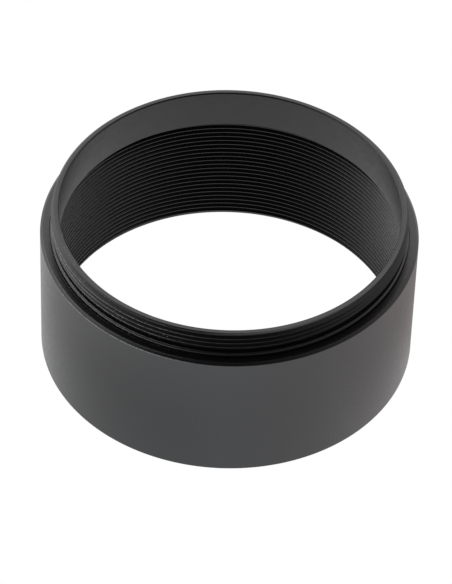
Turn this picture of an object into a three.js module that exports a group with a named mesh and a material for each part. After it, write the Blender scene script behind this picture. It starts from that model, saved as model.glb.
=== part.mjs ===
// Two-inch extension ring for telescopes and cameras: a barrel with an M48 x 0.75 female thread from
// end to end, and a double-ended M48 x 0.75 thread ring screwed into the barrel's top.
// Millimetres, +Z up along the optical axis, origin at the centre of the barrel's base.
import * as THREE from 'three';
import { mergeVertices } from 'three/addons/utils/BufferGeometryUtils.js';

// ---- Driving dimensions -----------------------------------------------------------------------

const SEGMENTS = 60; // facets round the axis

// M48 x 0.75, right-hand, drawn as a sharp V between its minor and major radius
const PITCH = 0.75;
const MAJOR_RADIUS = 24;
const MINOR_RADIUS = 23.594;
const THREAD_CLEARANCE = 0.1; // radial gap between the male and the female thread

const BARREL = {
  radius: 25.4, // a two-inch barrel
  height: 20,
  topChamfer: 0.35,
  bottomChamfer: 0.2,
  mouthRadius: 24.28, // the female thread's countersink at the base
  seatRadius: 24.15, // the counterbore that the ring's land sits in
  seatDepth: 0.3,
};

const RING = {
  bottom: 18.1,
  top: 23.9,
  boreRadius: 22.86,
  boreChamfer: 0.14,
  landRadius: 24.05,
  landTop: 20.6,
  landChamfer: 0.2,
  undercutRadius: 23.35,
  undercutTop: 20.95,
  rimRadius: 23.52, // outer edge of the flat top face
  rimSlope: Math.tan(THREE.MathUtils.degToRad(45)), // drop of the lead chamfer per mm outwards
  upperStart: 0.47, // height of the upper thread's root line at the +X side, in its first pitch
  tipRadius: 23.3, // outer edge of the lower end
};

const SEAT_HEIGHT = BARREL.height - BARREL.seatDepth;

const BLACK_ANODISE = { color: 0x232427, roughness: 0.45, metalness: 0.6 };

// ---- Turned parts with helical threads --------------------------------------------------------

// One point of a closed profile, at a fixed radius and height all the way round.
function point(radius, height) {
  return { radius, height };
}

// The rows of a helical thread between two heights, lowest first. Each row climbs one pitch per turn,
// is held inside the thread's two ends, and is trimmed there so that both ends close on a plain circle.
function threadRows({ low, high, gap, start = 0, trim }) {
  const step = PITCH / 2;
  const first = Math.floor((low - PITCH - start) / step);
  const last = Math.ceil((high - start) / step);
  const rows = [];
  for (let k = first; k <= last; k += 1) {
    const isRoot = k % 2 === 0;
    const radius = (isRoot ? MINOR_RADIUS : MAJOR_RADIUS) - gap;
    rows.push({ radius, height: start + k * step, low, high, trim });
  }
  return rows;
}

// Where one row of the profile lies at one angle, given as a share of a full turn.
function placeRow(row, turn) {
  if (row.trim === undefined) {
    return row;
  }
  const height = THREE.MathUtils.clamp(row.height + PITCH * turn, row.low, row.high);
  return { radius: row.trim(row.radius, height), height };
}

// Drops the triangles that fold onto a line where thread rows run together at a thread's end.
function withoutFolds(geometry) {
  const { index } = geometry;
  const kept = [];
  for (let i = 0; i < index.count; i += 3) {
    const corners = [index.getX(i), index.getX(i + 1), index.getX(i + 2)];
    if (new Set(corners).size === 3) {
      kept.push(...corners);
    }
  }
  geometry.setIndex(kept);
  return geometry;
}

// Turns a closed profile about +Z. The profile runs up its outer side and down its inner side.
function turnedGeometry(rows) {
  const outline = [...rows, rows[0]].map((row) => new THREE.Vector2(row.radius, row.height));
  const lathe = new THREE.LatheGeometry(outline, SEGMENTS);
  lathe.deleteAttribute('normal');
  lathe.deleteAttribute('uv');
  const { position } = lathe.attributes;
  for (let i = 0; i < position.count; i += 1) {
    const segment = Math.floor(i / outline.length);
    const row = rows[(i % outline.length) % rows.length];
    const angle = (2 * Math.PI * (segment % SEGMENTS)) / SEGMENTS;
    const { radius, height } = placeRow(row, segment / SEGMENTS);
    position.setXYZ(i, radius * Math.cos(angle), radius * Math.sin(angle), height);
  }
  const solid = withoutFolds(mergeVertices(lathe, 1e-4));
  solid.computeVertexNormals();
  return solid;
}

function turnedPart(name, rows) {
  const material = new THREE.MeshStandardMaterial(BLACK_ANODISE);
  const part = new THREE.Mesh(turnedGeometry(rows), material);
  part.name = name;
  return part;
}

// The thread's run-out under the seat: the grooves of both parts fade to their minor radius there.
function fadeUnderSeat(gap) {
  return (radius, height) => Math.min(radius, MINOR_RADIUS - gap + SEAT_HEIGHT - height);
}

// ---- The two parts ----------------------------------------------------------------------------

function barrel() {
  const { radius, height, topChamfer, bottomChamfer, mouthRadius, seatRadius } = BARREL;
  const fade = fadeUnderSeat(0);
  const femaleThread = threadRows({
    low: 0,
    high: SEAT_HEIGHT,
    gap: 0,
    trim: (r, h) => Math.max(fade(r, h), mouthRadius - h),
  });
  return turnedPart('barrel', [
    point(radius - bottomChamfer, 0),
    point(radius, bottomChamfer),
    point(radius, height - topChamfer),
    point(radius - topChamfer, height),
    point(seatRadius, height),
    point(seatRadius, SEAT_HEIGHT),
    ...femaleThread.reverse(),
  ]);
}

function threadRing() {
  const { bottom, top, boreRadius, boreChamfer, landRadius, landTop, landChamfer } = RING;
  const { undercutRadius, undercutTop, rimRadius, rimSlope, upperStart, tipRadius } = RING;
  const fade = fadeUnderSeat(THREAD_CLEARANCE);
  const lowerThread = threadRows({
    low: bottom,
    high: SEAT_HEIGHT,
    gap: THREAD_CLEARANCE,
    trim: (r, h) => Math.min(fade(r, h), tipRadius + h - bottom),
  });
  const upperThread = threadRows({
    low: undercutTop,
    high: top,
    gap: THREAD_CLEARANCE / 2,
    start: upperStart,
    trim: (r, h) =>
      Math.min(r, undercutRadius + h - undercutTop, rimRadius + (top - h) / rimSlope),
  });
  return turnedPart('thread_ring', [
    point(boreRadius + boreChamfer, bottom),
    ...lowerThread,
    point(landRadius, SEAT_HEIGHT),
    point(landRadius, landTop - landChamfer),
    point(landRadius - landChamfer, landTop),
    point(undercutRadius, landTop),
    ...upperThread,
    point(boreRadius + boreChamfer, top),
    point(boreRadius, top - boreChamfer),
    point(boreRadius, bottom + boreChamfer),
  ]);
}

const extensionRing = new THREE.Group();
extensionRing.add(barrel(), threadRing());

export default extensionRing;
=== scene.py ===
"""The looks of a two-inch M48 extension ring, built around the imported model: fine right-hand threads,
rounded edges and satin black anodised aluminium, on a white light table. Blender 4.5, metres, +Z up."""

import math

import bmesh
import bpy
import numpy as np
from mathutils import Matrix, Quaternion, Vector


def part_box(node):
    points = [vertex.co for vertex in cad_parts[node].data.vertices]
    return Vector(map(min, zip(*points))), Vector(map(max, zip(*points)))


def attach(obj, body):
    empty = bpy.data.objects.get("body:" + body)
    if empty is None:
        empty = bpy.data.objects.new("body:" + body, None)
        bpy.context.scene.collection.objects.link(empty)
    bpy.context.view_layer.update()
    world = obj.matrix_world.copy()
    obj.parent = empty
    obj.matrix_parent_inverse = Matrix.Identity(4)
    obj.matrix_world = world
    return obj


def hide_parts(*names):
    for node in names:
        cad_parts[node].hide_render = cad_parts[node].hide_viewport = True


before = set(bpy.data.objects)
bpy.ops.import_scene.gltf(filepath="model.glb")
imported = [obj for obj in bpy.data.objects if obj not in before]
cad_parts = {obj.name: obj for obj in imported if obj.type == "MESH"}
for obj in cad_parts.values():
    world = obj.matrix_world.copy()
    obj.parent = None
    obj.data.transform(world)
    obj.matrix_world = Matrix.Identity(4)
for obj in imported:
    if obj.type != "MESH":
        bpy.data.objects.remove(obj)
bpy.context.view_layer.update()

MM = 0.001

# ---- Dimensions in millimetres -------------------------------------------------------------------

BARREL_LOW, BARREL_HIGH = (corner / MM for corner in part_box("barrel"))
RING_LOW, RING_HIGH = (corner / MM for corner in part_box("thread_ring"))

# M48 x 0.75 thread, with 60 degree grooves between narrow crest flats
PITCH = 0.75
MINOR_RADIUS = 23.594
MAJOR_RADIUS = 24.0
FLANK_ANGLE = math.radians(30)
FEMALE_CREST = 0.12  # width of the crest flats as shares of the pitch
MALE_CREST = 0.045
CREST_BREAK = 0.03  # share of the pitch taken off each crest edge
LOWER_THREAD_GAP = 0.04  # radial gaps round the two male threads
UPPER_THREAD_GAP = 0.05
UPPER_START = 0.47  # height of a root line of the collar's thread at the +X side, in its first pitch

BASE_HEIGHT = BARREL_LOW.z
BARREL_RADIUS = BARREL_HIGH.x
SHOULDER_HEIGHT = BARREL_HIGH.z
SHOULDER_CHAMFER = 0.35
BASE_CHAMFER = 0.2
MOUTH_RADIUS = 24.28  # the female thread's countersink at the base
SEAT_RADIUS = 24.12
SEAT_HEIGHT = SHOULDER_HEIGHT - 0.3
BARREL_ROUNDING = 0.05
SHOULDER_ROUNDING = 0.02

RING_BOTTOM = RING_LOW.z
RIM_HEIGHT = RING_HIGH.z
BORE_RADIUS = 22.86
BORE_CHAMFER = 0.14
LAND_RADIUS = 24.05
LAND_TOP = SHOULDER_HEIGHT + 0.6
LAND_CHAMFER = 0.2
UNDERCUT_RADIUS = 23.35
UNDERCUT_TOP = SHOULDER_HEIGHT + 0.95
RIM_RADIUS = 23.52  # outer edge of the flat rim, where the 45 degree lead chamfer starts
TIP_RADIUS = 23.3  # the same at the ring's lower end
RING_ROUNDING = 0.03

SEGMENTS = 256  # columns round the axis
ROUNDING_STEPS = 4  # steps across each rounded edge
FLAT_MARGIN = 0.1  # how far from the nearest edge a stretch of profile starts on a flat face
WELD = 0.0005  # points closer than this are joined
SHARP_ANGLE = math.radians(20)


# ---- Turned parts --------------------------------------------------------------------------------

def rounded(corners):
    """Rows of a fixed stretch of profile. Each corner is (radius, height, rounding), and its edge is marked
    for wear and painted highlight.
    One more row beyond each end of a rounding keeps that mark off the faces."""
    points = [Vector(corner[:2]) for corner in corners]
    rows = []
    for i, (radius, height, rounding) in enumerate(corners):
        if not rounding:
            rows.append((radius, height, 0.0))
            continue
        corner = points[i]
        start = corner + (points[i - 1] - corner).normalized() * rounding
        end = corner + (points[i + 1] - corner).normalized() * rounding
        rows.append((*start.lerp(corner, -0.5), 0.0))
        for share in np.linspace(0, 1, ROUNDING_STEPS + 1):
            place = start.lerp(corner, share).lerp(corner.lerp(end, share), share)
            rows.append((place.x, place.y, 1.0))
        rows.append((*end.lerp(corner, -0.5), 0.0))

    def block(turns):
        table = np.array(rows)[:, :, None] * np.ones_like(turns)
        return table[:, 0], table[:, 1], table[:, 2]

    return block


def thread(low, high, stations, trim, start=0.0):
    """Rows of a right-hand helical thread. stations are (share of pitch, radius, edge mark for wear and
    painted highlight) along one pitch, lowest first. Each row climbs one pitch per turn and is held and
    trimmed at the thread's two ends."""
    first = math.floor(low / PITCH) - 2
    last = math.ceil(high / PITCH) + 1
    table = np.array([
        (radius, start + (k + share) * PITCH, edge_wear_and_highlight)
        for k in range(first, last + 1)
        for share, radius, edge_wear_and_highlight in stations
    ])

    def block(turns):
        height = np.clip(table[:, 1, None] + PITCH * turns, low, high)
        radius = trim(table[:, 0, None] * np.ones_like(turns), height)
        edge_wear_and_highlight = table[:, 2, None] * (radius == table[:, 0, None])
        return radius, height, edge_wear_and_highlight

    return block


def downwards(block):
    """The same rows in the opposite order, for the side of a profile that runs down."""
    return lambda turns: tuple(part[::-1] for part in block(turns))


def thread_stations(crest, root, crest_width):
    """One pitch of a thread: a crest flat with broken edges marked for wear and painted highlight, two
    flanks and a flat root. A male thread has its crest half a pitch above its start, and a female thread has
    it at its start."""
    depth = root - crest
    flank = abs(depth) * math.tan(FLANK_ANGLE) / PITCH
    crest_half = crest_width / 2
    half = [
        (crest_half - CREST_BREAK / 2, crest, 1.0),
        (crest_half + CREST_BREAK, crest + depth * CREST_BREAK / flank, 1.0),
        (crest_half + 2 * CREST_BREAK, crest + depth * 2 * CREST_BREAK / flank, 0.0),
        (crest_half + flank, root, 0.0),
    ]
    lower = [(-share, radius, edge_wear_and_highlight) for share, radius, edge_wear_and_highlight in reversed(half)]
    middle = 0.5 if crest > root else 0.0
    return [(middle + share, radius, edge_wear_and_highlight) for share, radius, edge_wear_and_highlight in lower + half]


def male_stations(gap):
    """One pitch of a male thread with a radial gap to the female one."""
    return thread_stations(MAJOR_RADIUS - gap, MINOR_RADIUS - gap, MALE_CREST)


def turned_piece(name, blocks, material):
    """Turns a closed profile about +Z into one closed mesh. The profile runs up outside and down inside."""
    turns = np.linspace(0, 1, SEGMENTS + 1)
    radius, height, edge_wear_and_highlight = (np.concatenate(part) for part in zip(*(block(turns) for block in blocks)))
    angle = 2 * math.pi * (np.arange(SEGMENTS + 1) % SEGMENTS) / SEGMENTS
    places = np.stack([radius * np.cos(angle), radius * np.sin(angle), height], axis=-1) * MM
    rows, columns = radius.shape
    index = np.arange(rows * columns).reshape(rows, columns)
    above = np.roll(index, -1, axis=0)
    quads = np.stack([index[:, :-1], index[:, 1:], above[:, 1:], above[:, :-1]], axis=-1)

    mesh = bpy.data.meshes.new(name)
    mesh.from_pydata(places.reshape(-1, 3), [], quads.reshape(-1, 4))
    # The edge mark, where the pale colour goes for wear and for painted edge highlights
    mesh.attributes.new("edge_wear_and_highlight", "FLOAT", "POINT").data.foreach_set("value", edge_wear_and_highlight.ravel())
    working = bmesh.new()
    working.from_mesh(mesh)
    bmesh.ops.remove_doubles(working, verts=working.verts, dist=WELD * MM)
    working.to_mesh(mesh)
    working.free()
    mesh.shade_smooth()
    mesh.set_sharp_from_angle(angle=SHARP_ANGLE)
    mesh.materials.append(material)

    piece = bpy.data.objects.new(name, mesh)
    bpy.context.scene.collection.objects.link(piece)
    return piece


def build_barrel(material):
    """The plain outer tube, with the female thread from its base up to the ring's seat."""
    female = thread(
        BASE_HEIGHT, SEAT_HEIGHT, thread_stations(MINOR_RADIUS, MAJOR_RADIUS, FEMALE_CREST),
        lambda r, h: np.maximum(
            np.minimum(r, MINOR_RADIUS + SEAT_HEIGHT - h),
            MOUTH_RADIUS + BASE_HEIGHT - h,
        ),
    )
    outside = rounded([
        (MOUTH_RADIUS + FLAT_MARGIN, BASE_HEIGHT, 0),
        (BARREL_RADIUS - BASE_CHAMFER, BASE_HEIGHT, BARREL_ROUNDING),
        (BARREL_RADIUS, BASE_HEIGHT + BASE_CHAMFER, BARREL_ROUNDING),
        (BARREL_RADIUS, SHOULDER_HEIGHT - SHOULDER_CHAMFER, BARREL_ROUNDING),
        (BARREL_RADIUS - SHOULDER_CHAMFER, SHOULDER_HEIGHT, SHOULDER_ROUNDING),
        (SEAT_RADIUS, SHOULDER_HEIGHT, BARREL_ROUNDING),
        (SEAT_RADIUS, SEAT_HEIGHT, 0),
    ])
    return turned_piece("barrel_shell", [outside, downwards(female)], material)


def build_thread_ring(material):
    """The ring in the barrel's top: a hidden lower thread, the land, the collar's thread and the bore."""
    lower = thread(
        RING_BOTTOM, SEAT_HEIGHT, male_stations(LOWER_THREAD_GAP),
        lambda r, h: np.minimum.reduce([
            r,
            MINOR_RADIUS - LOWER_THREAD_GAP + SEAT_HEIGHT - h,
            TIP_RADIUS + h - RING_BOTTOM,
        ]),
    )
    land = rounded([
        (LAND_RADIUS, SEAT_HEIGHT, 0),
        (LAND_RADIUS, LAND_TOP - LAND_CHAMFER, RING_ROUNDING),
        (LAND_RADIUS - LAND_CHAMFER, LAND_TOP, RING_ROUNDING),
        (UNDERCUT_RADIUS, LAND_TOP, 0),
    ])
    upper = thread(
        UNDERCUT_TOP, RIM_HEIGHT, male_stations(UPPER_THREAD_GAP),
        lambda r, h: np.minimum.reduce([
            r,
            UNDERCUT_RADIUS + h - UNDERCUT_TOP,
            RIM_RADIUS + RIM_HEIGHT - h,
        ]),
        start=UPPER_START,
    )
    bore = rounded([
        (BORE_RADIUS + BORE_CHAMFER + FLAT_MARGIN, RIM_HEIGHT, 0),
        (BORE_RADIUS + BORE_CHAMFER, RIM_HEIGHT, RING_ROUNDING),
        (BORE_RADIUS, RIM_HEIGHT - BORE_CHAMFER, RING_ROUNDING),
        (BORE_RADIUS, RING_BOTTOM + BORE_CHAMFER, RING_ROUNDING),
        (BORE_RADIUS + BORE_CHAMFER, RING_BOTTOM, 0),
    ])
    return turned_piece("thread_ring_detail", [lower, land, upper, bore], material)


# ---- Materials -----------------------------------------------------------------------------------

BLACK_DYE = (0.0025, 0.0025, 0.0025, 1)
# Pale bare metal, used both for wear and for painted highlights along edges on the lit left-front side
PALE_METAL_AND_HIGHLIGHT = (0.19, 0.19, 0.195, 1)
COAT_IOR = 1.5
RELIEF_HEIGHT = 0.01  # mm
MOTTLE_RELIEF = 0.8  # shares of the relief
LATHE_RELIEF = 0.5
ETCH_RELIEF = 0.3
ROUGHNESS_SPREAD = 0.03
WORN_AND_LIT_BEARING = math.radians(222)  # middle of the side that gets wear and painted edge highlights (the left front, where the side light falls), from +X towards +Y


class Nodes:
    """A short way to add nodes to a tree. Inputs are given by name or number, as values or as sockets."""

    def __init__(self, tree):
        self.tree = tree
        tree.nodes.clear()

    def add(self, kind, inputs=None, **settings):
        node = self.tree.nodes.new(kind)
        for name, value in settings.items():
            setattr(node, name, value)
        for key, value in (inputs or {}).items():
            if isinstance(value, bpy.types.NodeSocket):
                self.tree.links.new(value, node.inputs[key])
            else:
                node.inputs[key].default_value = value
        return node

    def math(self, operation, *values):
        return self.add("ShaderNodeMath", dict(enumerate(values)), operation=operation).outputs[0]

    def vector(self, operation, inputs):
        return self.add("ShaderNodeVectorMath", inputs, operation=operation).outputs

    def noise(self, scale, detail, **inputs):
        """Noise whose scale is per mm, where its input is in mm."""
        fields = {"Scale": scale, "Detail": detail, **inputs}
        dimensions = "4D" if "W" in inputs else "3D"
        return self.add("ShaderNodeTexNoise", fields, noise_dimensions=dimensions).outputs["Fac"]

    def ramp(self, value, low, high, to_low=0.0, to_high=1.0, curve="LINEAR"):
        fields = {"Value": value, 1: low, 2: high, 3: to_low, 4: to_high}
        return self.add("ShaderNodeMapRange", fields, interpolation_type=curve).outputs[0]

    def mix(self, share, a, b):
        fields = {"Factor": share, 6: a, 7: b}
        return self.add("ShaderNodeMix", fields, data_type="RGBA").outputs[2]

    def place_in_mm(self):
        place = self.add("ShaderNodeTexCoord").outputs["Object"]
        return self.vector("SCALE", {0: place, "Scale": 1 / MM})[0]


def lathe_marks(nodes, bearing, radius, height):
    """Noise that changes slowly round the axis and quickly along the profile."""
    round_scale = 0.5
    profile_scale = 4.0
    across = nodes.add("ShaderNodeSeparateXYZ", {0: bearing}).outputs
    turned = nodes.add(
        "ShaderNodeCombineXYZ",
        {
            "X": nodes.math("MULTIPLY", across["X"], round_scale),
            "Y": nodes.math("MULTIPLY", across["Y"], round_scale),
            "Z": nodes.math("MULTIPLY", radius, profile_scale),
        },
    ).outputs[0]
    return nodes.noise(1.0, 3.0, Vector=turned, W=nodes.math("MULTIPLY", height, profile_scale))


def worn_and_highlight_share(nodes, place, bearing, specks):
    """Where the black turns to pale metal: chips along the edges and a few specks, all on the left-front
    side. This is partly wear and partly a painted highlight on the edges that face the side light. specks is
    the noise level above which a speck shows."""
    side = (math.cos(WORN_AND_LIT_BEARING), math.sin(WORN_AND_LIT_BEARING), 0)
    facing = nodes.vector("DOT_PRODUCT", {0: bearing, 1: side})["Value"]
    # In full within 14 degrees of the middle of that side, and gone 46 degrees from it
    # Wear and painted edge highlights only on the left-front side, where the side light falls
    handled_and_lit = nodes.ramp(facing, 0.7, 0.97, curve="SMOOTHSTEP")
    edges = nodes.add("ShaderNodeAttribute", attribute_name="edge_wear_and_highlight").outputs["Fac"]
    chips_and_edge_highlights = nodes.ramp(nodes.noise(4.5, 2.0, Vector=place), 0.4, 0.6, 0.35, 1.0)
    specks_and_glints = nodes.ramp(nodes.noise(3.5, 0.0, Vector=place), specks, specks + 0.08)
    marks_and_highlights = nodes.math("MAXIMUM", nodes.math("MULTIPLY", edges, chips_and_edge_highlights), specks_and_glints)
    return nodes.math("MULTIPLY", marks_and_highlights, handled_and_lit)


def roughness(nodes, mottle, radius, zones):
    """Slightly mottled roughness. zones are (radius in mm, roughness) from the axis outwards."""
    start = zones[0][1]
    total = nodes.ramp(mottle, 0.3, 0.7, start - ROUGHNESS_SPREAD, start + ROUGHNESS_SPREAD)
    for (inner, before), (outer, after) in zip(zones, zones[1:]):
        if after != before:
            total = nodes.math("ADD", nodes.ramp(radius, inner, outer, 0.0, after - before), total)
    return total


def anodised(name, zones, relief, specks):
    """Satin black anodised aluminium: a dyed oxide layer over lathe marks, paler where it is worn and where
    edge highlights are painted on the left-front side.
    """
    material = bpy.data.materials.new(name)
    material.use_nodes = True
    nodes = Nodes(material.node_tree)

    place = nodes.place_in_mm()
    axes = nodes.add("ShaderNodeSeparateXYZ", {0: place}).outputs
    flat = nodes.add("ShaderNodeCombineXYZ", {"X": axes["X"], "Y": axes["Y"]}).outputs[0]
    radius = nodes.vector("LENGTH", {0: flat})["Value"]
    bearing = nodes.vector("NORMALIZE", {0: flat})[0]

    mottle = nodes.noise(1.4, 2.0, Vector=place)
    etch = nodes.noise(5.0, 2.0, Vector=place)
    height = nodes.math(
        "ADD",
        nodes.math("MULTIPLY", lathe_marks(nodes, bearing, radius, axes["Z"]), LATHE_RELIEF),
        nodes.math("MULTIPLY", etch, ETCH_RELIEF),
    )
    height = nodes.math("ADD", nodes.math("MULTIPLY", mottle, MOTTLE_RELIEF), height)
    bump = nodes.add(
        "ShaderNodeBump", {"Height": height, "Strength": relief, "Distance": RELIEF_HEIGHT * MM}
    ).outputs[0]
    # Base colour: black dye, with pale metal for wear and for painted edge highlights on the lit left-front
    # side
    shader = nodes.add(
        "ShaderNodeBsdfPrincipled",
        {
            "Base Color": nodes.mix(worn_and_highlight_share(nodes, place, bearing, specks), BLACK_DYE, PALE_METAL_AND_HIGHLIGHT),
            "Roughness": roughness(nodes, mottle, radius, zones),
            "IOR": COAT_IOR,
            "Normal": bump,
        },
    )
    nodes.add("ShaderNodeOutputMaterial", {"Surface": shader.outputs[0]})
    return material


def barrel_anodise():
    """Smooth on the wall and in the thread, and rougher on the faced shoulder between them."""
    zones = ((24.02, 0.26), (24.15, 0.35), (25.05, 0.35), (25.2, 0.25))
    return anodised("barrel_anodise", zones, relief=0.25, specks=0.95)


def ring_anodise():
    """Rougher in the bore than on the collar."""
    zones = ((23.1, 0.4), (23.3, 0.3))
    return anodised("ring_anodise", zones, relief=0.2, specks=0.77)


# ---- Studio --------------------------------------------------------------------------------------

SIDES = 8  # directions in which the light is set, and it is blended between them


def glow(base, *panels):
    """Brightness in each direction, from behind the object as the camera sees it, by way of its right: an
    even base with soft panels of (brightness, bearing, reach), in degrees. A panel below 0 is a shade."""
    levels = []
    for i in range(SIDES):
        level = base
        for brightness, centre, reach in panels:
            away = abs((360 * i / SIDES - centre + 180) % 360 - 180)
            level += brightness * math.cos(math.pi / 2 * min(away / reach, 1))
        levels.append(level)
    return levels


# One large soft panel stands behind the object and to its left, a weak one stands at its right, and another
# hangs high behind it. Straight above it is dark.
WEAK_RIGHT = (0.3, 90, 60)
SKY = {  # by elevation in degrees
    8: glow(0.5, (1.4, 310, 120), WEAK_RIGHT),
    35: glow(0.1, (2.3, 318, 95), WEAK_RIGHT),
    60: glow(0.0, (1.5, 0, 45), (1.0, 15, 120)),
    86: glow(0.0),
}

# The table is evenly lit inside the ring, and outside it is brighter in front and shaded at the back right
TABLE_INSIDE = glow(1.25)
TABLE_NEAR = glow(0.7, (0.6, 170, 75), (-0.5, 45, 55))
TABLE_FAR = glow(0.9, (1.0, 205, 90), WEAK_RIGHT)
TABLE = {24.4: TABLE_INSIDE, 24.6: TABLE_NEAR, 35: TABLE_NEAR, 60: TABLE_FAR}  # by radius in mm

# The light is plain from behind the object and its left, faintly warm from its right and cool from its front
PLAIN = (1.0, 1.0, 1.0)
WARM = (1.06, 0.98, 0.98)
COOL = (0.98, 1.0, 1.04)
TINTS = (PLAIN, WARM, COOL, PLAIN)


def tint(share):
    """The tint of the light at a share of the way round from behind the object, by way of its right."""
    steps = range(len(TINTS) + 1)
    return [np.interp(share * len(TINTS), steps, part) for part in zip(*TINTS, TINTS[0])]


def studio_light(nodes, place, level, rows):
    """The light at a place or from a direction, read from rows of brightness. level picks the rows to
    blend. The camera itself sees plain white."""
    axes = nodes.add("ShaderNodeSeparateXYZ", {0: place}).outputs
    bearing = nodes.math("ARCTAN2", axes["X"], axes["Y"])
    way_round = nodes.math("FRACT", nodes.math("DIVIDE", bearing, 2 * math.pi))
    brightest = max(max(row) for row in rows.values())
    total = None
    for lower, upper in zip([None, *rows], rows):
        ring = nodes.add("ShaderNodeValToRGB", {"Fac": way_round})
        stops = ring.color_ramp.elements
        for i in range(SIDES + 1):
            share = i / SIDES
            stop = stops[i] if i < len(stops) else stops.new(share)
            stop.position = share
            stop.color = (*(rows[upper][i % SIDES] / brightest * part for part in tint(share)), 1)
        if total is None:
            total = ring.outputs["Color"]
        else:
            total = nodes.mix(nodes.ramp(level, lower, upper), total, ring.outputs["Color"])
    seen = nodes.add("ShaderNodeLightPath").outputs["Is Camera Ray"]
    colour = nodes.mix(seen, total, (*PLAIN, 1))
    return {"Color": colour, "Strength": nodes.ramp(seen, 0.0, 1.0, brightest, 1.0)}


def light_table():
    """A pale table that the camera sees as plain white, and that lights the object as TABLE says."""
    half_width = 1.6
    drop = 0.02 * MM  # so that the table and the base don't share a plane
    corners = [(x * half_width, y * half_width, -drop) for x, y in ((-1, -1), (1, -1), (1, 1), (-1, 1))]
    mesh = bpy.data.meshes.new("light_table")
    mesh.from_pydata(corners, [], [(0, 1, 2, 3)])
    table = bpy.data.objects.new("light_table", mesh)
    bpy.context.scene.collection.objects.link(table)
    material = bpy.data.materials.new("light_table")
    material.use_nodes = True
    nodes = Nodes(material.node_tree)
    place = nodes.place_in_mm()
    radius = nodes.vector("LENGTH", {0: place})["Value"]
    shader = nodes.add("ShaderNodeEmission", studio_light(nodes, place, radius, TABLE))
    nodes.add("ShaderNodeOutputMaterial", {"Surface": shader.outputs[0]})
    mesh.materials.append(material)


def studio():
    """The soft light above the table, from a bright back and left to a dim front."""
    world = bpy.data.worlds.new("studio")
    bpy.context.scene.world = world
    world.use_nodes = True
    nodes = Nodes(world.node_tree)
    direction = nodes.add("ShaderNodeTexCoord").outputs["Generated"]
    height = nodes.add("ShaderNodeSeparateXYZ", {0: direction}).outputs["Z"]
    elevation = nodes.math("MULTIPLY", nodes.math("ARCSINE", height), 180 / math.pi)
    background = nodes.add("ShaderNodeBackground", studio_light(nodes, direction, elevation, SKY))
    nodes.add("ShaderNodeOutputWorld", {"Surface": background.outputs[0]})


def camera():
    """A long lens, looking down at the ring from the front with a slight roll."""
    data = bpy.data.cameras.new("camera")
    data.sensor_width = 36
    data.lens = 236.6
    view = bpy.data.objects.new("camera", data)
    bpy.context.scene.collection.objects.link(view)
    aim = Vector((-0.2, 0, 8.05)) * MM
    elevation = math.radians(44.72)
    distance = 522.9 * MM
    view.location = aim + distance * Vector((0, -math.cos(elevation), math.sin(elevation)))
    roll = Quaternion((0, 0, 1), math.radians(1.939))
    view.rotation_mode = "QUATERNION"
    view.rotation_quaternion = (aim - view.location).to_track_quat("-Z", "Y") @ roll
    bpy.context.scene.camera = view


# ---- The scene -----------------------------------------------------------------------------------

camera()
light_table()
studio()

for piece, node, slot in (
    (build_barrel(barrel_anodise()), "barrel", "barrel_anodise"),
    (build_thread_ring(ring_anodise()), "thread_ring", "ring_anodise"),
):
    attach(piece, "root")
    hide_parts(node)

bpy.context.scene.view_settings.view_transform = "Standard"
